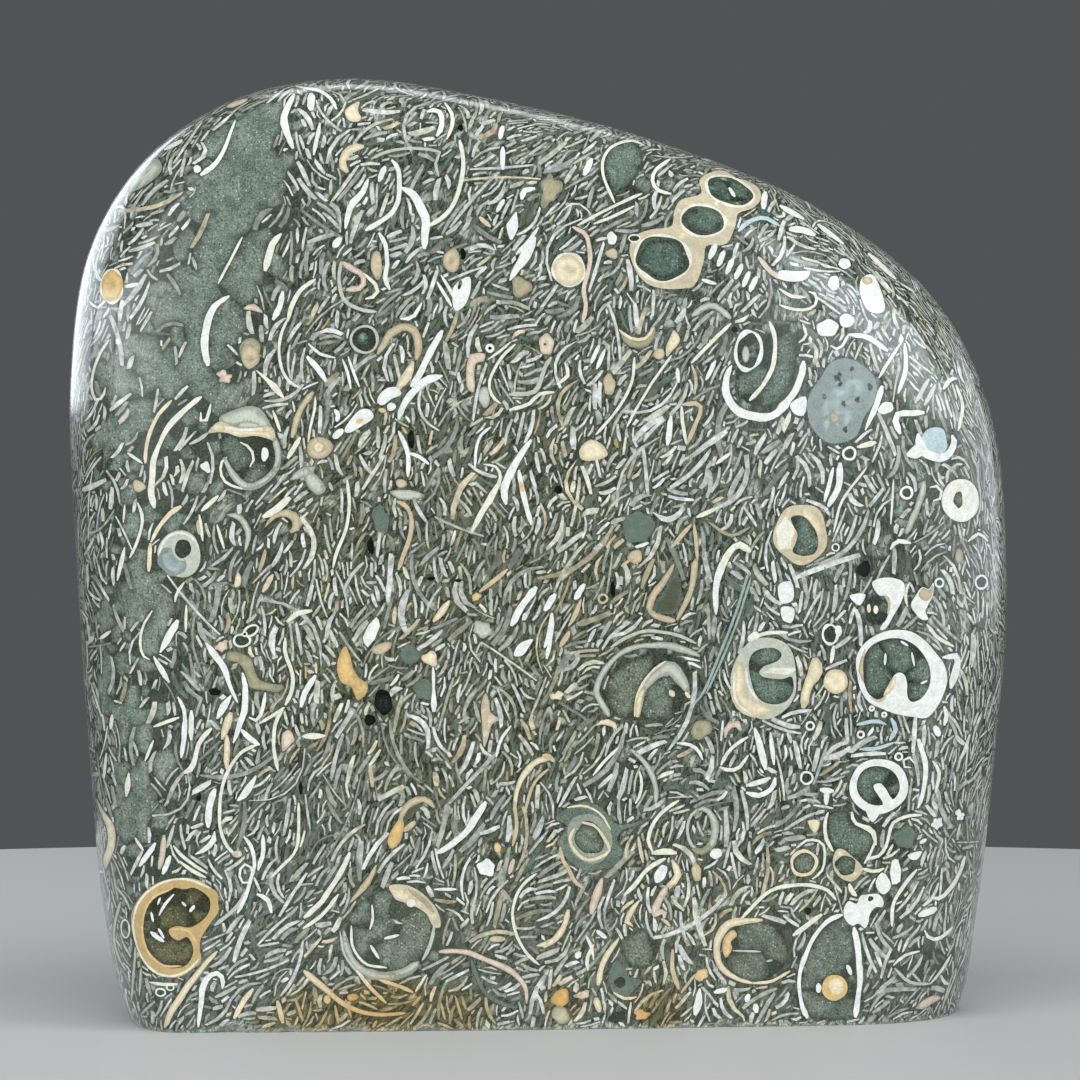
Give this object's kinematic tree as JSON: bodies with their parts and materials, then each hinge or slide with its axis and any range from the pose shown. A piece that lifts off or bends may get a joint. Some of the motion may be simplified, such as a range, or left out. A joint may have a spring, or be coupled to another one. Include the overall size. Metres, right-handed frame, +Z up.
{
  "type": "turritella agate freeform",
  "caption": "Polished freeform slab of grey-green turritella agate, full of pale shell sections, rounded all round and sawn flat to stand upright.",
  "frame": {"origin": "middle of the sawn flat base, at the bottom centre of the bounding box", "axes": "+Z up, the broad front face looks along -Y, +X to the viewer's right when facing the front face, +Y through the slab's thickness"},
  "size_m": [0.137, 0.0402, 0.1357],
  "materials": {
    "polished_turritella_agate": "high polish on grey-green silicified matrix with white, cream and tan shell sections; sawn and unpolished on the base"
  },
  "bodies": {
    "root": {"turritella_stone": "polished_turritella_agate"}
  },
  "joints": []
}
